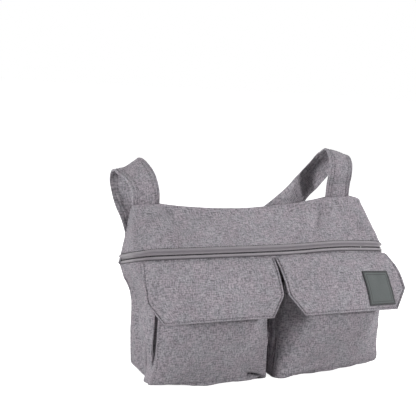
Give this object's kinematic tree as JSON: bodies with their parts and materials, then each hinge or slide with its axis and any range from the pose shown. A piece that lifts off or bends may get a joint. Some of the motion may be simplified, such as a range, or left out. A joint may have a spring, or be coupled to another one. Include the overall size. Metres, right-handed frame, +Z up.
{
  "type": "stroller organizer",
  "caption": "Soft organizer bag that hangs from a stroller handlebar: zipped body, flapped bellows pockets in front and wrap-over straps on top.",
  "frame": {"origin": "middle of the base's underside", "axes": "+X along the handlebar, -Y towards the flapped front, +Z up to the straps"},
  "size_m": [0.3602, 0.1673, 0.2816],
  "materials": {
    "melange_cloth": "grey melange woven cloth, matt",
    "zip_tape": "grey satin tape",
    "zip_coil": "dark nylon coil",
    "slider_metal": "gunmetal, satin",
    "label_cloth": "dark grey woven label, bare",
    "hook_and_loop": "black hook-and-loop tape"
  },
  "bodies": {
    "bag": {"back_panel": "melange_cloth", "base": "melange_cloth", "side_left": "melange_cloth", "side_right": "melange_cloth", "front_panel": "melange_cloth", "yoke": "melange_cloth", "zip_tape_lower": "zip_tape", "zip_tape_upper": "zip_tape", "zip_coil_lower": "zip_coil", "zip_coil_upper": "zip_coil", "zip_stop_left": "slider_metal", "zip_stop_right": "slider_metal", "pocket_left_face": "melange_cloth", "pocket_left_gusset": "melange_cloth", "pocket_left_loop": "hook_and_loop", "pocket_right_face": "melange_cloth", "pocket_right_gusset": "melange_cloth", "pocket_right_loop": "hook_and_loop", "flap_left": "melange_cloth", "flap_left_hook": "hook_and_loop", "flap_right": "melange_cloth", "flap_right_hook": "hook_and_loop", "label": "label_cloth", "strap_left": "melange_cloth", "strap_left_patch": "hook_and_loop", "strap_left_hook": "hook_and_loop", "back_loop_left": "hook_and_loop", "strap_right": "melange_cloth", "strap_right_patch": "hook_and_loop", "strap_right_hook": "hook_and_loop", "back_loop_right": "hook_and_loop"},
    "zip_slider": {"zip_slider": "slider_metal"},
    "zip_puller": {"zip_puller": "slider_metal"}
  },
  "joints": [
    {"name": "zip_slide", "type": "slide", "parent": "bag", "child": "zip_slider", "axis": [0, -0.961, 0.2766], "range_m": [0, 0.022]},
    {"name": "puller_hinge", "type": "hinge", "parent": "zip_slider", "child": "zip_puller", "pos_m": [0.1785, 0.0166, 0.14417], "axis": [0, 0.2766, 0.961], "range_deg": [0, 170]}
  ]
}
